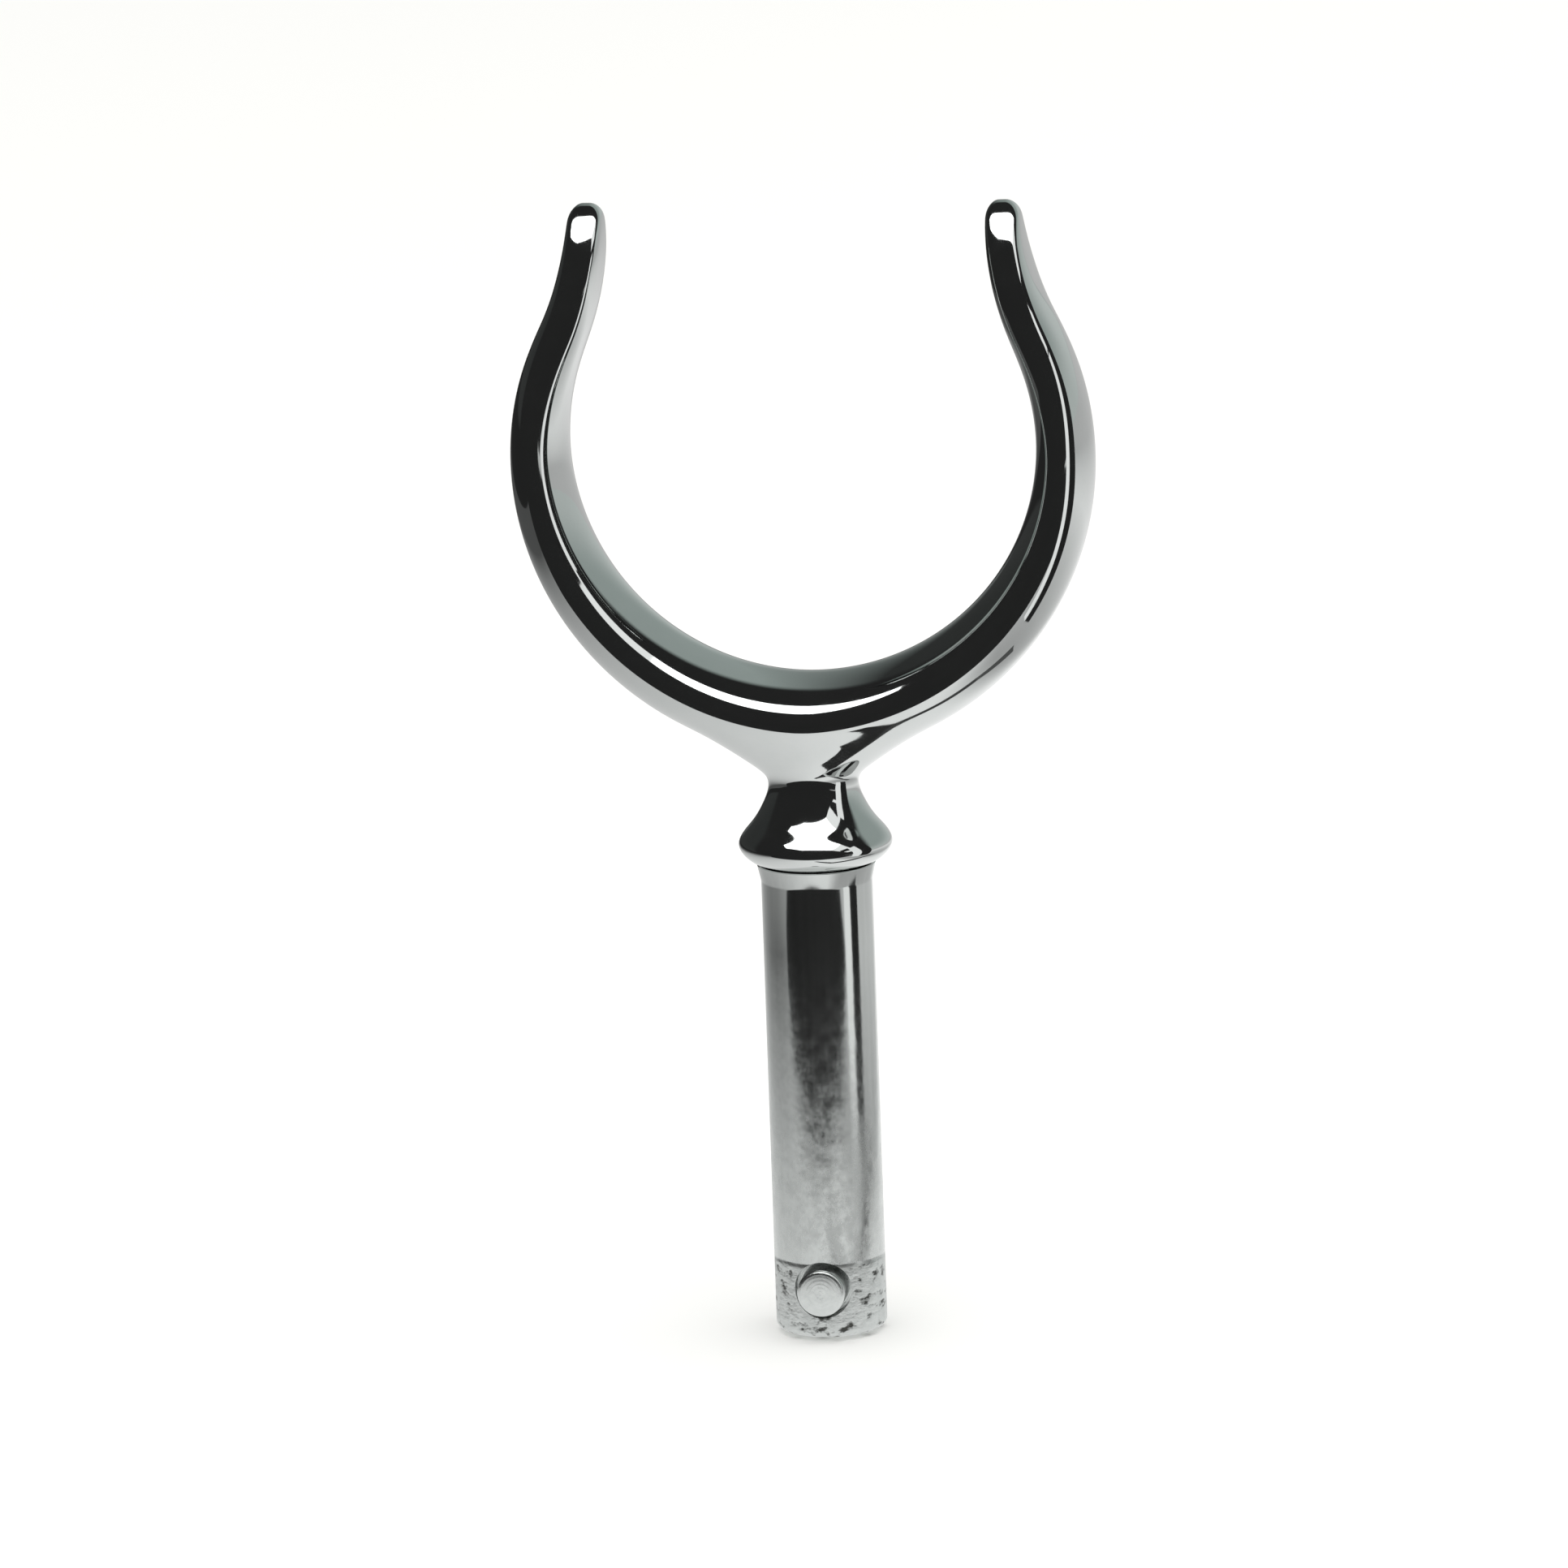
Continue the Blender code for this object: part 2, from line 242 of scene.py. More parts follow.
def makeDullPlate():
    material, tree, shader = newMaterial("wornPlatedSteel")
    place = addNode(tree, "ShaderNodeTexCoord").outputs["Object"]
    height = addNode(tree, "ShaderNodeSeparateXYZ", Vector=place).outputs["Z"]
    drawn = addNode(tree, "ShaderNodeMapping", Vector=place, Scale=(1.0, 1.0, dullPlate["streakZ"]))
    streaks = addNode(tree, "ShaderNodeTexNoise", Vector=drawn.outputs["Vector"],
                      Scale=1 / (dullPlate["streakWidth"] * mm), Detail=3.0)
    taller = addNode(tree, "ShaderNodeMapping", Vector=place, Scale=(1.0, 1.0, dullPlate["scuffZ"]))
    scuffs = addNode(tree, "ShaderNodeTexNoise", Vector=taller.outputs["Vector"],
                     Scale=1 / (dullPlate["scuffSize"] * mm), Detail=2.0, Roughness=0.5)
    specks = addNode(tree, "ShaderNodeTexNoise", Vector=taller.outputs["Vector"],
                     Scale=1 / (dullPlate["speckSize"] * mm), Detail=6.0, Roughness=0.75)
    flatter = addNode(tree, "ShaderNodeMapping", Vector=place, Scale=(1.0, 1.0, dullPlate["pitZ"]))
    pits = addNode(tree, "ShaderNodeTexNoise", Vector=flatter.outputs["Vector"],
                   Scale=1 / (dullPlate["pitSize"] * mm), Detail=4.0, Roughness=0.6)

    # how worn it is and where the rough end is, both 0 to 1
    start, full = dullPlate["worn"]
    worn = addNode(tree, "ShaderNodeMapRange", Value=height, From_Min=start * mm, From_Max=full * mm)
    start, full = dullPlate["end"]
    end = addNode(tree, "ShaderNodeMapRange", {"interpolation_type": "SMOOTHSTEP"}, Value=height,
                  From_Min=start * mm, From_Max=full * mm)

    # roughness: the wear, then streaks, rubbed specks where it is worn, and the rough end
    bright, dull = dullPlate["roughness"]
    base = addNode(tree, "ShaderNodeMapRange", Value=worn.outputs["Result"], To_Min=bright, To_Max=dull)
    streaked = addNode(tree, "ShaderNodeMath", {"operation": "MULTIPLY_ADD"}, in_0=streaks.outputs["Fac"],
                       in_1=dullPlate["streakRoughness"], in_2=base.outputs["Result"])
    start, full = dullPlate["speckSpan"]
    rubbed = addNode(tree, "ShaderNodeMapRange", Value=specks.outputs["Fac"], From_Min=start, From_Max=full,
                     To_Max=dullPlate["speckRoughness"])
    specked = addNode(tree, "ShaderNodeMath", {"operation": "MULTIPLY_ADD"}, in_0=rubbed.outputs["Result"],
                      in_1=worn.outputs["Result"], in_2=streaked.outputs["Value"])
    rough = addNode(tree, "ShaderNodeMath", {"operation": "MULTIPLY_ADD", "use_clamp": True},
                    in_0=end.outputs["Result"], in_1=dullPlate["endRoughness"], in_2=specked.outputs["Value"])

    # colour: streaky plate, with grime in the pits of the end
    start, full = dullPlate["grimeSpan"]
    grime = addNode(tree, "ShaderNodeMapRange", {"interpolation_type": "SMOOTHSTEP"},
                    Value=pits.outputs["Fac"], From_Min=start, From_Max=full)
    grimy = addNode(tree, "ShaderNodeMath", {"operation": "MULTIPLY"}, in_0=grime.outputs["Result"],
                    in_1=end.outputs["Result"])
    plate = addNode(tree, "ShaderNodeMix", {"data_type": "RGBA"}, Factor=streaks.outputs["Fac"],
                    A=linearColour(dullPlate["dim"]), B=linearColour(dullPlate["bright"]))
    tint = addNode(tree, "ShaderNodeMix", {"data_type": "RGBA"}, Factor=grimy.outputs["Value"],
                   A=plate.outputs["Result"], B=linearColour(dullPlate["grime"]))

    # bump: scuffs where it is worn, pits in the end
    dents = addNode(tree, "ShaderNodeMath", {"operation": "MULTIPLY"}, in_0=scuffs.outputs["Fac"],
                    in_1=worn.outputs["Result"])
    scuffed = addNode(tree, "ShaderNodeBump", Height=dents.outputs["Value"], Strength=1.0,
                      Distance=dullPlate["scuffHeight"] * mm)
    pitted = addNode(tree, "ShaderNodeMath", {"operation": "MULTIPLY"}, in_0=pits.outputs["Fac"],
                     in_1=end.outputs["Result"])
    bump = addNode(tree, "ShaderNodeBump", Height=pitted.outputs["Value"], Strength=1.0,
                   Distance=dullPlate["pitHeight"] * mm, Normal=scuffed.outputs["Normal"])
    finishMetal(tree, shader, tint.outputs["Result"], rough.outputs["Value"], bump.outputs["Normal"])
    return material


# the horn: a fork swept round the bowl and up both arms, drawn into a neck and a flared collar
horn = {
    "bowlRadius": 26.8, "bowlHeight": 48.4,  # mm, the inner side's circle
    "wrap": 112.9, "bowlSteps": 18,  # degrees from the bottom round to where the arm bends back out
    "flareRadius": 37.4, "flareAngle": 22.4, "flareSteps": 4,
    "tipLength": 2.6,  # mm from the end of the bend to the very tip
    "thickness": (10.0, 6.4, 3.8), "halfDepth": (7.5, 7.2, 5.2),  # at the bottom, the side and the tip
    "sectionPoints": 24,
    "squareness": (1.85, 2.0, 4.2),  # of the section at the same places: 2 is an ellipse, more is boxier
    # half depths of the tip's rings at lengths down from the very tip, which make it a long rounded finger
    "tip": ((9.0, 5.2), (6.5, 4.6), (4.8, 4.0), (3.2, 3.2), (2.4, 2.65), (1.6, 2.1), (0.87, 1.5), (0.4, 1.0),
            (0.12, 0.5)),
    "underSteps": 3, "underFaces": 8,  # steps each way and faces across of the patch that the neck grows from
    "collarPoints": 28,
    "neck": ((7.6, 5.9, 11.6), (5.5, 4.95, 10.1)),  # half width, half depth and height of its rings
    "collar": ((5.12, 9.2), (5.15, 8.3), (5.48, 7.3), (5.96, 6.3), (6.46, 5.37), (7.13, 4.4), (7.95, 3.5),
               (8.54, 2.7), (8.8, 2.05), (8.7, 1.4), (8.15, 0.65), (7.4, 0.06), (7.2, 0.0), (6.85, 0.0),
               (6.62, -0.02), (6.55, -0.12), (6.5, -0.26), (6.4, -0.3), (6.1, -0.3), (4.6, -0.3),
               (4.35, -0.28), (4.3, -0.1), (4.3, 3.0), (4.3, 6.1), (4.2, 6.3), (2.0, 6.3)),
}


def armPoint(place):
    # inner side of the arm at a length along it: x, z and heading
    bend = math.radians(horn["wrap"])
    bowlLength = horn["bowlRadius"] * bend
    flare = math.radians(horn["flareAngle"])
    flareLength = horn["flareRadius"] * flare
    heading = min(place, bowlLength) / horn["bowlRadius"]
    x = horn["bowlRadius"] * math.sin(heading)
    z = horn["bowlHeight"] - horn["bowlRadius"] * math.cos(heading)
    if place > bowlLength:
        heading = bend - min(place - bowlLength, flareLength) / horn["flareRadius"]
        x += horn["flareRadius"] * (math.sin(bend) - math.sin(heading))
        z += horn["flareRadius"] * (math.cos(heading) - math.cos(bend))
    rest = max(0.0, place - bowlLength - flareLength)
    return x + rest * math.cos(heading), z + rest * math.sin(heading), heading


def armSection(place, length):
    # centre, heading, half thickness and half depth of the section there, in mm
    level = horn["bowlRadius"] * math.pi / 2
    down = length - place
    first = 0 if place < level else 1
    thickPart = place / level if place < level else (place - level) / (length - level)
    deepPart = thickPart if place < level else (place - level) / (length - horn["tip"][0][0] - level)
    thick = horn["thickness"][first] * (1 - thickPart) + horn["thickness"][first + 1] * thickPart
    deep = horn["halfDepth"][first] * (1 - deepPart) + horn["halfDepth"][first + 1] * deepPart
    for ringDown, ringDeep in horn["tip"]:
        if down < ringDown + slack:
            deep = ringDeep
    x, z, heading = armPoint(place)
    centre = Vector((x + math.sin(heading) * thick / 2, 0.0, z - math.cos(heading) * thick / 2))
    half = thick / 2
    if down < half:
        half = math.sqrt(half ** 2 - (half - down) ** 2)
    return centre, heading, half, deep


def squareSections(piece, rings):
    # the rings are ellipses so far: their corners are drawn in or pushed out
    points = horn["sectionPoints"]
    for k, (centre, heading, half, deep, power) in enumerate(rings):
        outside = Vector((math.sin(heading), 0.0, -math.cos(heading)))
        for vert in piece.data.vertices[k * points:(k + 1) * points]:
            spot = vert.co / mm - centre
            across, along = spot.dot(outside) / half, spot.y / deep
            across = math.copysign(abs(across) ** (2 / power), across)
            along = math.copysign(abs(along) ** (2 / power), along)
            vert.co = (centre + outside * across * half + Vector((0.0, along * deep, 0.0))) * mm


def makeHorn(material):
    bowlLength = horn["bowlRadius"] * math.radians(horn["wrap"])
    flareLength = horn["flareRadius"] * math.radians(horn["flareAngle"])
    length = bowlLength + flareLength + horn["tipLength"]
    places = [bowlLength * i / horn["bowlSteps"] for i in range(horn["bowlSteps"] + 1)]
    flareEnd = length - horn["tip"][0][0] - bowlLength
    places += [bowlLength + flareEnd * i / horn["flareSteps"] for i in range(1, horn["flareSteps"])]
    places += [length - down for down, deep in horn["tip"]]
    # subdivision draws a ring in, so the rings start a little large
    swell = 3 / (2 + math.cos(2 * math.pi / horn["sectionPoints"]))

    centre, heading, half, deep = armSection(0.0, length)
    piece = startRing("hornChrome", horn["sectionPoints"], centre * mm, (0, math.pi / 2, 0))
    bpy.ops.transform.resize(value=(1, deep * swell * mm, half * swell * mm), center_override=centre * mm)
    rings = [(centre, heading, half * swell, deep * swell, horn["squareness"][0])]
    level = horn["bowlRadius"] * math.pi / 2
    for place in places[1:]:
        nextCentre, nextHeading, nextHalf, nextDeep = armSection(place, length)
        grow = (nextHalf / half, nextDeep / deep, nextHalf / half)
        pullRing((nextCentre - centre) * mm, nextCentre * mm, grow, nextHeading - heading)
        centre, heading, half, deep = nextCentre, nextHeading, nextHalf, nextDeep
        first = 0 if place < level else 1
        part = place / level if place < level else (place - level) / (length - level)
        power = horn["squareness"][first] * (1 - part) + horn["squareness"][first + 1] * part
        rings.append((centre, heading, half * swell, deep * swell, power))
    closeRing()
    bpy.ops.object.mode_set(mode="OBJECT")
    squareSections(piece, rings)
    useModifier(piece, "MIRROR", use_axis=(True, False, False), use_clip=True, merge_threshold=slack * mm)

    # the patch under the bowl is opened
    bpy.ops.object.mode_set(mode="EDIT")
    bpy.ops.mesh.select_mode(type="FACE")
    bpy.ops.mesh.select_all(action="DESELECT")
    shape = bmesh.from_edit_mesh(piece.data)
    reach = math.radians(horn["wrap"]) / horn["bowlSteps"] * horn["underSteps"]
    across = math.pi * horn["underFaces"] / horn["sectionPoints"]
    for face in shape.faces:
        co = face.calc_center_median() / mm
        angle = math.atan2(abs(co.x), horn["bowlHeight"] - co.z)
        radius = math.hypot(co.x, horn["bowlHeight"] - co.z) - horn["bowlRadius"]
        centre, heading, half, deep = armSection(horn["bowlRadius"] * min(angle, math.pi / 2), length)
        turn = math.atan2(abs(co.y) / deep, (radius - half) / half)
        face.select_set(angle < reach and turn < across)
    bmesh.update_edit_mesh(piece.data)
    bpy.ops.mesh.delete(type="FACE")
    bpy.ops.object.mode_set(mode="OBJECT")

    # the neck and collar are pulled down from a ring of their own
    swell = 3 / (2 + math.cos(2 * math.pi / horn["collarPoints"]))
    wide, deep, height = horn["neck"][0]
    collar = startRing("collar", horn["collarPoints"], (0, 0, height * mm), (0, 0, 0))
    bpy.ops.transform.resize(value=(wide * swell * mm, deep * swell * mm, 1),
                             center_override=(0, 0, height * mm))
    radius, lower = horn["collar"][0]
    rings = [*horn["neck"], (radius, radius, lower)]
    for (w0, d0, h0), (w1, d1, h1) in zip(rings, rings[1:]):
        pullRing((0, 0, (h1 - h0) * mm), (0, 0, h1 * mm), (w1 / w0, d1 / d0, 1))
    pullProfile(horn["collar"], shankPlace)
    closeRing()
    bpy.ops.object.mode_set(mode="OBJECT")
    deselectAll()
    collar.select_set(True)
    piece.select_set(True)
    bpy.context.view_layer.objects.active = piece
    bpy.ops.object.join()
    bpy.ops.object.mode_set(mode="EDIT")
    bpy.ops.mesh.select_mode(type="EDGE")
    bpy.ops.mesh.select_all(action="DESELECT")
    bpy.ops.mesh.select_non_manifold(extend=False)
    bpy.ops.mesh.bridge_edge_loops()
    endPiece(piece)
    useModifier(piece, "SUBSURF", levels=2, render_levels=2)
    finishPiece(piece, material, "horn", "horn_casting")


makeHorn(makeChromePlate())


# the shank: a half inch bar with a spigot on top and the keeper's stepped bore near its end
shank = {
    "points": 96,
    "profile": ((3.5, 6.0), (4.0, 5.5), (4.0, -0.42), (6.64, -0.42), (6.77, -0.52), (6.38, -2.25),
                (6.35, -2.5), (6.35, -10.0), (6.35, -20.0), (6.35, -30.0), (6.35, -40.0), (6.35, -44.0),
                (6.35, -45.0), (6.35, -46.0), (6.35, -47.0), (6.35, -48.0), (6.35, -49.0), (6.35, -50.0),
                (6.35, -51.0), (6.35, -52.0), (6.35, -53.0), (6.35, -54.1), (6.28, -54.45), (6.09, -54.74),
                (5.8, -54.93), (5.45, -55.0)),
    "keeperHeight": -49.3, "narrowBore": 3.3, "wideBore": 3.9, "step": -4.2,
    "boreEnds": (-10.0, 10.0), "overlap": 1.2, "borePoints": 72,  # the cutters reach past the bar's sides
}


def boreCutter(radius, front, back):
    deselectAll()
    middle = ((front + back) / 2 * mm, shank["keeperHeight"] * mm)
    bpy.ops.mesh.primitive_cylinder_add(vertices=shank["borePoints"], radius=radius * mm,
                                        depth=(back - front) * mm, location=(0, *middle),
                                        rotation=(math.pi / 2, 0, 0))
    return bpy.context.active_object


def makeShank(material):
    first = shank["profile"][0]
    piece = startRing("shankBar", shank["points"], (0, 0, first[1] * mm), (0, 0, 0))
    bpy.ops.transform.resize(value=[first[0] * mm] * 3, center_override=(0, 0, first[1] * mm))
    pullProfile(shank["profile"], shankPlace)
    bpy.ops.mesh.edge_face_add()
    pickVerts(piece, lambda co: co.z > (first[1] - slack) * mm)
    bpy.ops.mesh.edge_face_add()
    endPiece(piece, turnedSharp)
    front, back = shank["boreEnds"]
    narrow = boreCutter(shank["narrowBore"], front, shank["step"] + shank["overlap"])
    wide = boreCutter(shank["wideBore"], shank["step"], back)
    for cutter in (narrow, wide):
        useModifier(piece, "BOOLEAN", operation="DIFFERENCE", object=cutter, solver="EXACT")
        bpy.data.objects.remove(cutter, do_unlink=True)
    deselectAll()
    piece.select_set(True)
    bpy.ops.object.shade_smooth_by_angle(angle=math.radians(turnedSharp))
    finishPiece(piece, material, "horn", "shank")


makeShank(makeDullPlate())


# the keeper: a flanged button, the spring behind it and the plug that holds the spring
keeper = {
    "height": shank["keeperHeight"], "points": 64,
    # turned profiles: radius and place along the keeper's axis, in mm
    "button": ((0.6, -7.95), (2.25, -7.95), (2.42, -7.91), (2.57, -7.83), (2.68, -7.71), (2.73, -7.58),
               (2.75, -7.4), (2.75, -4.1), (2.75, -3.9), (3.5, -3.9), (3.6, -3.8), (3.6, -3.0), (3.5, -2.9),
               (0.6, -2.9)),
    "plug": ((0.6, 3.7), (3.5, 3.7), (3.6, 3.8), (3.6, 4.7), (3.45, 4.95), (3.1, 5.15), (2.8, 5.2),
             (0.6, 5.2)),
    "springRadius": 2.8, "wire": 0.25, "turns": 4, "springEnds": (-2.35, 3.15),
    "wirePoints": 10, "turnSteps": 28, "wireSharp": 50,
    # steels: name, bright and dark colour, mm between the tool's rings, roughness
    "buttonSteel": ("turnedPinSteel", "#d3d6d4", "#c4c8c6", 0.44, 0.24),
    "plugSteel": ("turnedPlugSteel", "#b4b5b3", "#979997", 0.6, 0.38),
    "springSteel": ("drawnSpringWire", "#a9a9a8", "#8c8c8b", 0.5, 0.3),
    "spotSize": 0.9, "uneven": 0.1, "ringHeight": 0.004,  # mm, and how far the roughness wanders
}


# turned steel: fine rings left by the tool, about the Y axis of the keeper
def makeTurnedSteel(name, bright, dark, ringSpacing, roughness):
    material, tree, shader = newMaterial(name)
    place = addNode(tree, "ShaderNodeTexCoord").outputs["Object"]
    centred = addNode(tree, "ShaderNodeMapping", Vector=place, Location=(0.0, 0.0, -keeper["height"] * mm))
    # the wave node repeats every 2 pi / 20 at a scale of 1
    rings = addNode(tree, "ShaderNodeTexWave", {"wave_type": "RINGS", "rings_direction": "Y"},
                    Vector=centred.outputs["Vector"], Scale=2 * math.pi / 20 / (ringSpacing * mm),
                    Distortion=1.5, Detail_Scale=1 / (2 * mm))
    spots = addNode(tree, "ShaderNodeTexNoise", Vector=place, Scale=1 / (keeper["spotSize"] * mm), Detail=4.0,
                    Roughness=0.6)
    tint = addNode(tree, "ShaderNodeMix", {"data_type": "RGBA"}, Factor=spots.outputs["Fac"],
                   A=linearColour(bright), B=linearColour(dark))
    rough = addNode(tree, "ShaderNodeMapRange", Value=spots.outputs["Fac"],
                    To_Min=roughness - keeper["uneven"], To_Max=roughness + keeper["uneven"])
    bump = addNode(tree, "ShaderNodeBump", Height=rings.outputs["Fac"], Strength=1.0,
                   Distance=keeper["ringHeight"] * mm)
    finishMetal(tree, shader, tint.outputs["Result"], rough.outputs["Result"], bump.outputs["Normal"])
    return material


def keeperPlace(distance):
    return Vector((0, distance, keeper["height"] * mm))


def makeTurned(name, profile):
    # turned about the keeper's axis, from its front end to its back
    radius, front = profile[0]
    start = keeperPlace(front * mm)
    piece = startRing(name, keeper["points"], start, (math.pi / 2, 0, 0))
    bpy.ops.transform.resize(value=[radius * mm] * 3, center_override=start)
    pullProfile(profile, keeperPlace)
    closeRing()
    pickVerts(piece, lambda co: co.y < (front + slack) * mm and
              math.hypot(co.x, co.z - start.z) < (radius + slack) * mm)
    closeRing()
    endPiece(piece, turnedSharp)
    return piece


def makeSpring(material):
    # a ring of wire swept round the keeper's axis by the screw modifier, then laid along Y
    deselectAll()
    bpy.ops.mesh.primitive_circle_add(vertices=keeper["wirePoints"], radius=keeper["wire"] * mm,
                                      location=(keeper["springRadius"] * mm, 0, 0),
                                      rotation=(math.pi / 2, 0, 0))
    piece = bpy.context.active_object
    piece.name = piece.data.name = "keeperSpring"
    bpy.ops.object.transform_apply(location=True, rotation=True, scale=True)
    start, end = keeper["springEnds"]
    useModifier(piece, "SCREW", axis="Z", steps=keeper["turnSteps"], render_steps=keeper["turnSteps"],
                iterations=keeper["turns"], screw_offset=(end - start) / keeper["turns"] * mm,
                use_merge_vertices=False)
    piece.rotation_euler = (-math.pi / 2, 0, 0)
    piece.location = keeperPlace(start * mm)
    bpy.ops.object.transform_apply(location=True, rotation=True, scale=True)
    bpy.ops.object.mode_set(mode="EDIT")
    bpy.ops.mesh.select_all(action="SELECT")
    bpy.ops.mesh.fill_holes(sides=0)
    endPiece(piece, keeper["wireSharp"])
    finishPiece(piece, material, "horn", "keeper_spring")
    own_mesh(piece)


button = makeTurned("keeperButton", keeper["button"])
finishPiece(button, makeTurnedSteel(*keeper["buttonSteel"]), "keeper", "keeper_button")
plug = makeTurned("keeperPlug", keeper["plug"])
finishPiece(plug, makeTurnedSteel(*keeper["plugSteel"]), "horn", "keeper_plug")
makeSpring(makeTurnedSteel(*keeper["springSteel"]))


# the studio: a pale floor, a soft strip light overhead and cards that only the metal sees
studio = {
    "floorHeight": -55.4, "floorSize": 30.0, "floorColour": "#fafaf8",  # mm, m
    "floorRoughness": 0.9, "floorShine": 0.1,
    "sky": "#fefefd",  # the even light that the floor and the camera see
    # the room that the metal sees: a grey wall behind, lighter at its foot; the rest is dark
    "wall": "#a4aeab", "wallFoot": "#c6ccca", "dark": "#292929",
    "wallFacing": (0.0, 0.94, -0.34), "wallEdge": (-0.06, 0.12),  # its direction and its soft edge
    "wallAcross": (-0.5, 0.05), "wallLeft": 0.04,  # from left to right, and the share of it on the left
    "wallBottom": (-0.05, -0.02), "footFade": (0.0, 0.4),  # heights of its lower edge and of the light foot
    # the table that the metal sees, in plan, and its cards, which lie a little apart
    "tablePlan": ((-330, -400), (4000, -400), (4000, 4000), (-330, 4000)), "tableLift": 0.2, "cardStep": 0.1,
    "table": 1.04, "tableFar": 0.57, "tableFade": (100, 800),  # glow near and far off, mm from and to
    "tableLeft": 0.1, "leftFade": (-215, 5),  # share of the glow left of the object, mm from and to
    "shadow": 0.4, "shadowFade": (70, 320), "shadowEdge": (35, 75),  # soft shadow to the right, mm
    # the dark side of the room in front, and dark strips lying on the table to the right, seen only in
    # reflections
    "tableCards": (("darkFrontLeft", ((-155, -86), (-525, -291), (0, -900), (0, -86)), 0.022),
                   ("darkFrontRight", ((0, -86), (0, -900), (539, -263), (176, -86)), 0.022),
                   ("darkStripNear", ((4, -51), (10, -53), (23, -23), (17, -16)), 0.03),
                   ("darkStripMiddle", ((17, -16), (23, -23), (58, -6), (58, 10)), 0.06),
                   ("darkStripFar", ((58, -6), (82, 22), (76, 46), (58, 10)), 0.1)),
    "stripHeight": 540,  # mm, the strip light, in plan, which is weaker on its far right
    "strips": (("stripLeft", ((-380, -320), (-150, -475), (-150, -185), (-380, -215)), 3.0),
               ("stripMiddle", ((-150, -475), (350, -470), (350, -175), (-150, -185)), 3.0),
               ("stripRight", ((350, -470), (1284, -800), (1284, -300), (350, -175)), 1.15)),
    "flagPlace": 100,  # mm, upright cards to the right: from one y and height to another
    "flags": (("brightFlag", (-49, -55), (-21, 85), 1.1), ("darkFlag", (-21, -55), (12, 95), 0.02),
              ("darkSideFlag", (-90, 60), (-49, 92), 0.02)),
    "lampPlace": (0.2, -0.2, 1.2), "lampPower": 4.0, "lampSize": 1.2,  # m and W, which only lights the floor
}


def addCard(name, corners, strength):
    # a flat glowing card, seen only in reflections
    deselectAll()
    bpy.ops.mesh.primitive_plane_add(size=1.0, location=(0, 0, 0))
    card = bpy.context.active_object
    card.name = name
    for vert, corner in zip((card.data.vertices[i] for i in (0, 1, 3, 2)), corners):
        vert.co = Vector(corner) * mm
    material = bpy.data.materials.new(name)
    material.use_nodes = True
    tree = material.node_tree
    tree.nodes.clear()
    light = addNode(tree, "ShaderNodeEmission", Strength=strength)
    addNode(tree, "ShaderNodeOutputMaterial", Surface=light.outputs["Emission"])
    card.data.materials.append(material)
    card.visible_camera = False
    card.visible_diffuse = False
    card.visible_shadow = False
    return tree, light


def makeFloor():
    deselectAll()
    bpy.ops.mesh.primitive_plane_add(size=studio["floorSize"], location=(0, 0, studio["floorHeight"] * mm))
    floor = bpy.context.active_object
    floor.name = "floor"
    material, tree, shader = newMaterial("palePaper")
    shader.inputs["Base Color"].default_value = linearColour(studio["floorColour"])
    shader.inputs["Roughness"].default_value = studio["floorRoughness"]
    shader.inputs["Specular IOR Level"].default_value = studio["floorShine"]
    floor.data.materials.append(material)
    floor.visible_glossy = False


def makeWorld():
    world = bpy.data.worlds.new("studio")
    bpy.context.scene.world = world
    world.use_nodes = True
    tree = world.node_tree
    tree.nodes.clear()
    direction = addNode(tree, "ShaderNodeTexCoord").outputs["Generated"]
    sides = addNode(tree, "ShaderNodeSeparateXYZ", Vector=direction)
    # where the wall is: behind, less to the left, and above its lower edge
    behind = addNode(tree, "ShaderNodeVectorMath", {"operation": "DOT_PRODUCT"}, in_0=direction,
                     in_1=studio["wallFacing"])
    start, full = studio["wallEdge"]
    wall = addNode(tree, "ShaderNodeMapRange", {"interpolation_type": "SMOOTHSTEP"},
                   Value=behind.outputs["Value"], From_Min=start, From_Max=full)
    start, full = studio["wallAcross"]
    right = addNode(tree, "ShaderNodeMapRange", Value=sides.outputs["X"], From_Min=start, From_Max=full,
                    To_Min=studio["wallLeft"])
    start, full = studio["wallBottom"]
    above = addNode(tree, "ShaderNodeMapRange", Value=sides.outputs["Z"], From_Min=start, From_Max=full)
    part = addNode(tree, "ShaderNodeMath", {"operation": "MULTIPLY"}, in_0=wall.outputs["Result"],
                   in_1=right.outputs["Result"])
    part = addNode(tree, "ShaderNodeMath", {"operation": "MULTIPLY"}, in_0=part.outputs["Value"],
                   in_1=above.outputs["Result"])
    # the wall is lighter near the table
    start, full = studio["footFade"]
    foot = addNode(tree, "ShaderNodeMapRange", {"interpolation_type": "SMOOTHSTEP"}, Value=sides.outputs["Z"],
                   From_Min=start, From_Max=full)
    wallColour = addNode(tree, "ShaderNodeMix", {"data_type": "RGBA"}, Factor=foot.outputs["Result"],
                         A=linearColour(studio["wallFoot"]), B=linearColour(studio["wall"]))
    room = addNode(tree, "ShaderNodeMix", {"data_type": "RGBA"}, Factor=part.outputs["Value"],
                   A=linearColour(studio["dark"]), B=wallColour.outputs["Result"])
    rays = addNode(tree, "ShaderNodeLightPath")
    colour = addNode(tree, "ShaderNodeMix", {"data_type": "RGBA"}, Factor=rays.outputs["Is Glossy Ray"],
                     A=linearColour(studio["sky"]), B=room.outputs["Result"])
    light = addNode(tree, "ShaderNodeBackground", Color=colour.outputs["Result"], Strength=1.0)
    addNode(tree, "ShaderNodeOutputWorld", Surface=light.outputs["Background"])


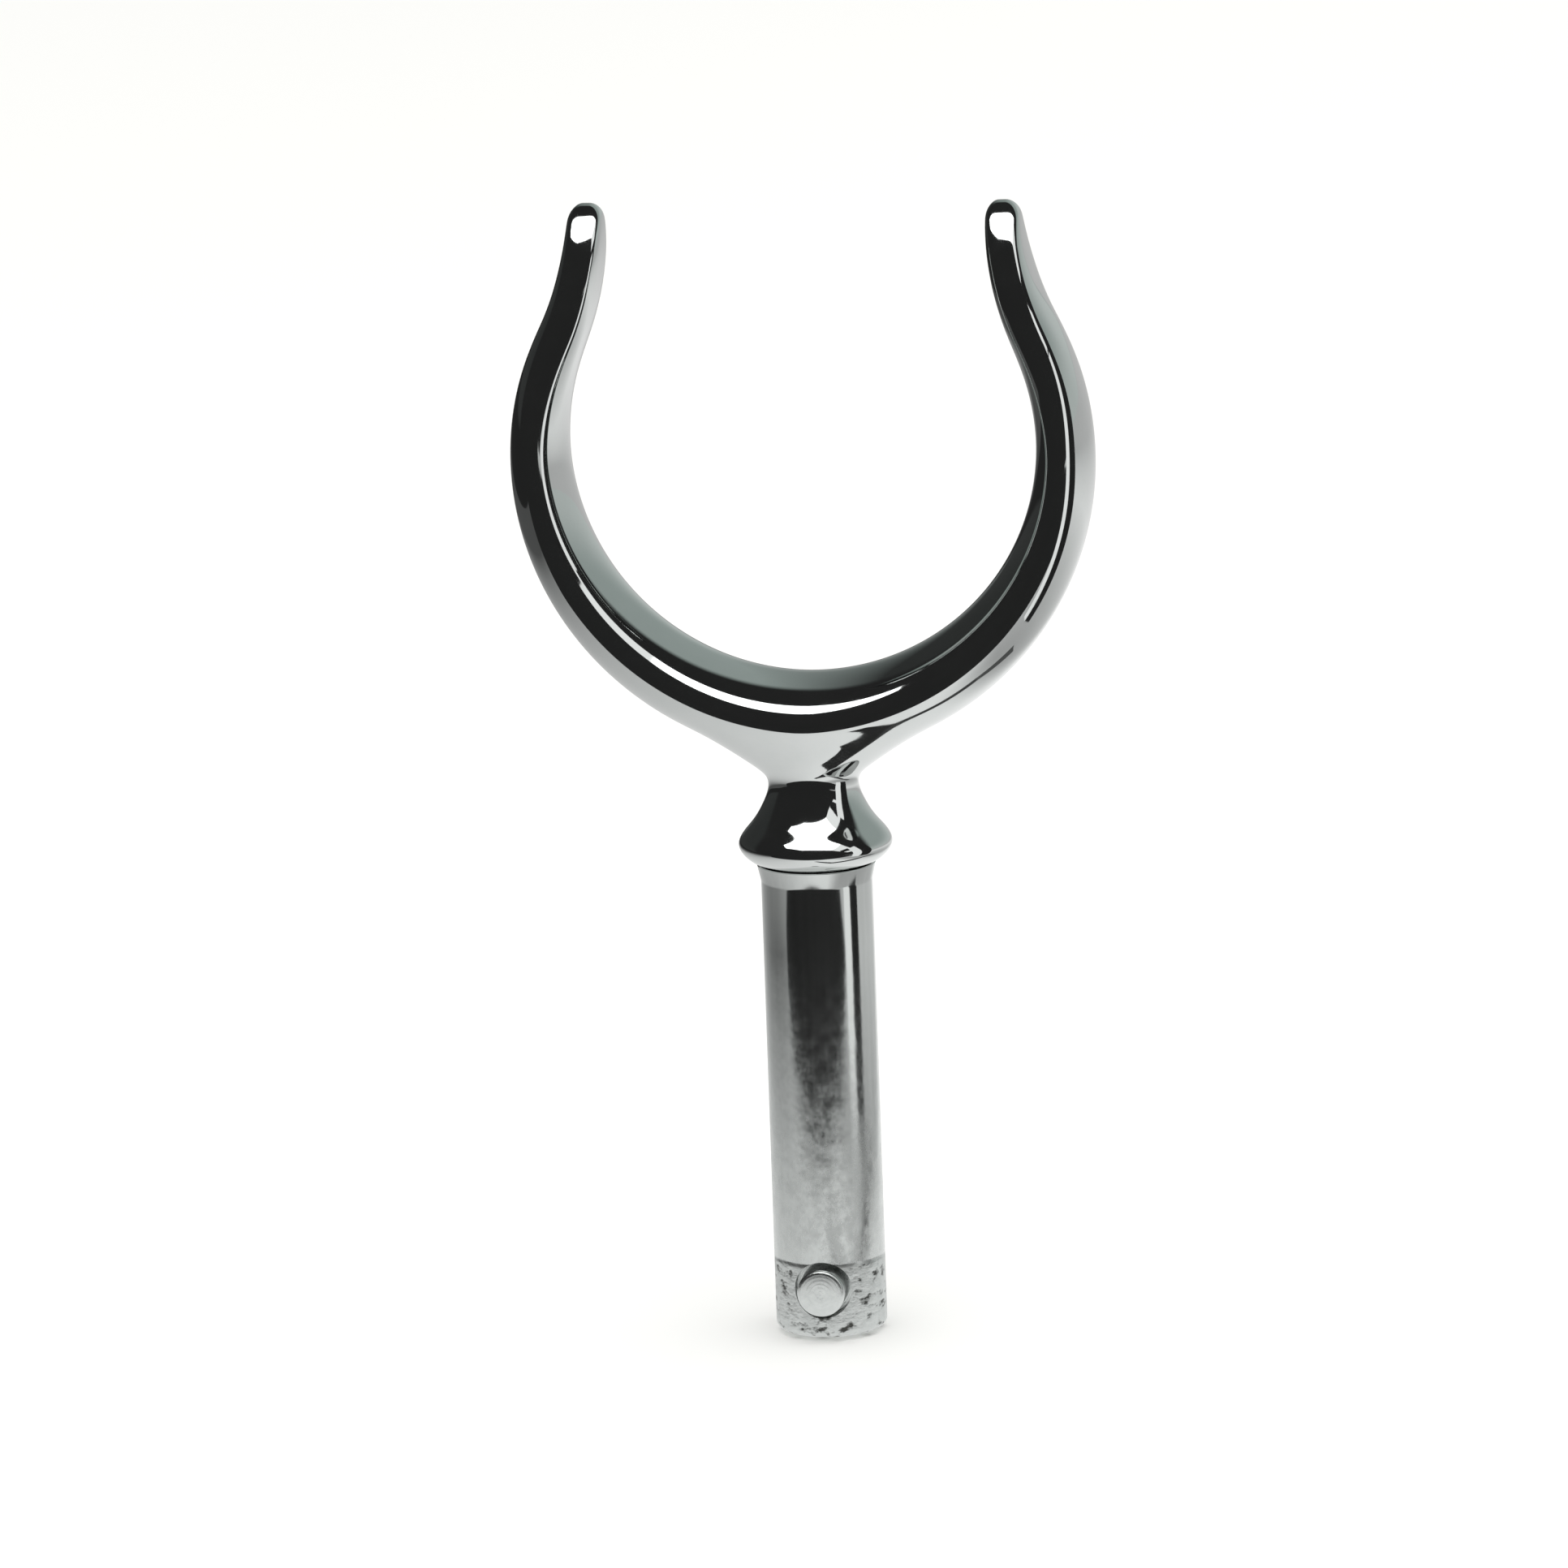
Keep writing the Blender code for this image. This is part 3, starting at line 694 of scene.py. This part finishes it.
def makeTable(height):
    # the table that the metal sees: it fades with distance and falls off to the left
    tree, light = addCard("tableCard", [(x, y, height) for x, y in studio["tablePlan"]], 1.0)
    place = addNode(tree, "ShaderNodeTexCoord").outputs["Object"]
    away = addNode(tree, "ShaderNodeVectorMath", {"operation": "LENGTH"}, in_0=place)
    across = addNode(tree, "ShaderNodeSeparateXYZ", Vector=place)
    start, end = studio["tableFade"]
    fade = addNode(tree, "ShaderNodeMapRange", {"interpolation_type": "SMOOTHSTEP"},
                   Value=away.outputs["Value"], From_Min=start * mm, From_Max=end * mm,
                   To_Min=studio["table"], To_Max=studio["tableFar"])
    start, end = studio["leftFade"]
    falloff = addNode(tree, "ShaderNodeMapRange", Value=across.outputs["X"], From_Min=start * mm,
                      From_Max=end * mm, To_Min=studio["tableLeft"])
    glow = addNode(tree, "ShaderNodeMath", {"operation": "MULTIPLY"}, in_0=fade.outputs["Result"],
                   in_1=falloff.outputs["Result"])
    # the shadow starts beside the object and fades out
    start, end = studio["shadowFade"]
    shade = addNode(tree, "ShaderNodeMapRange", Value=away.outputs["Value"], From_Min=start * mm,
                    From_Max=end * mm, To_Min=studio["shadow"] - 1.0, To_Max=0.0)
    start, end = studio["shadowEdge"]
    beside = addNode(tree, "ShaderNodeMapRange", {"interpolation_type": "SMOOTHSTEP"},
                     Value=across.outputs["X"], From_Min=start * mm, From_Max=end * mm)
    shaded = addNode(tree, "ShaderNodeMath", {"operation": "MULTIPLY_ADD"}, in_0=shade.outputs["Result"],
                     in_1=beside.outputs["Result"], in_2=1.0)
    glow = addNode(tree, "ShaderNodeMath", {"operation": "MULTIPLY"}, in_0=glow.outputs["Value"],
                   in_1=shaded.outputs["Value"])
    tree.links.new(glow.outputs["Value"], light.inputs["Strength"])


def makeStudio():
    makeFloor()
    makeWorld()
    tableHeight = studio["floorHeight"] + studio["tableLift"]
    makeTable(tableHeight)
    for i, (name, plan, strength) in enumerate(studio["tableCards"], 1):
        addCard(name, [(x, y, tableHeight + i * studio["cardStep"]) for x, y in plan], strength)
    for name, plan, strength in studio["strips"]:
        addCard(name, [(x, y, studio["stripHeight"]) for x, y in plan], strength)
    x = studio["flagPlace"]
    for name, (near, bottom), (far, top), strength in studio["flags"]:
        addCard(name, ((x, near, bottom), (x, far, bottom), (x, far, top), (x, near, top)), strength)
    lamp = bpy.data.lights.new("softOverhead", "AREA")
    lamp.size = studio["lampSize"]
    lamp.energy = studio["lampPower"]
    holder = bpy.data.objects.new("softOverhead", lamp)
    holder.location = studio["lampPlace"]
    holder.visible_glossy = False
    bpy.context.scene.collection.objects.link(holder)
    bpy.context.scene.view_settings.view_transform = "Standard"


makeStudio()
print("studio set")
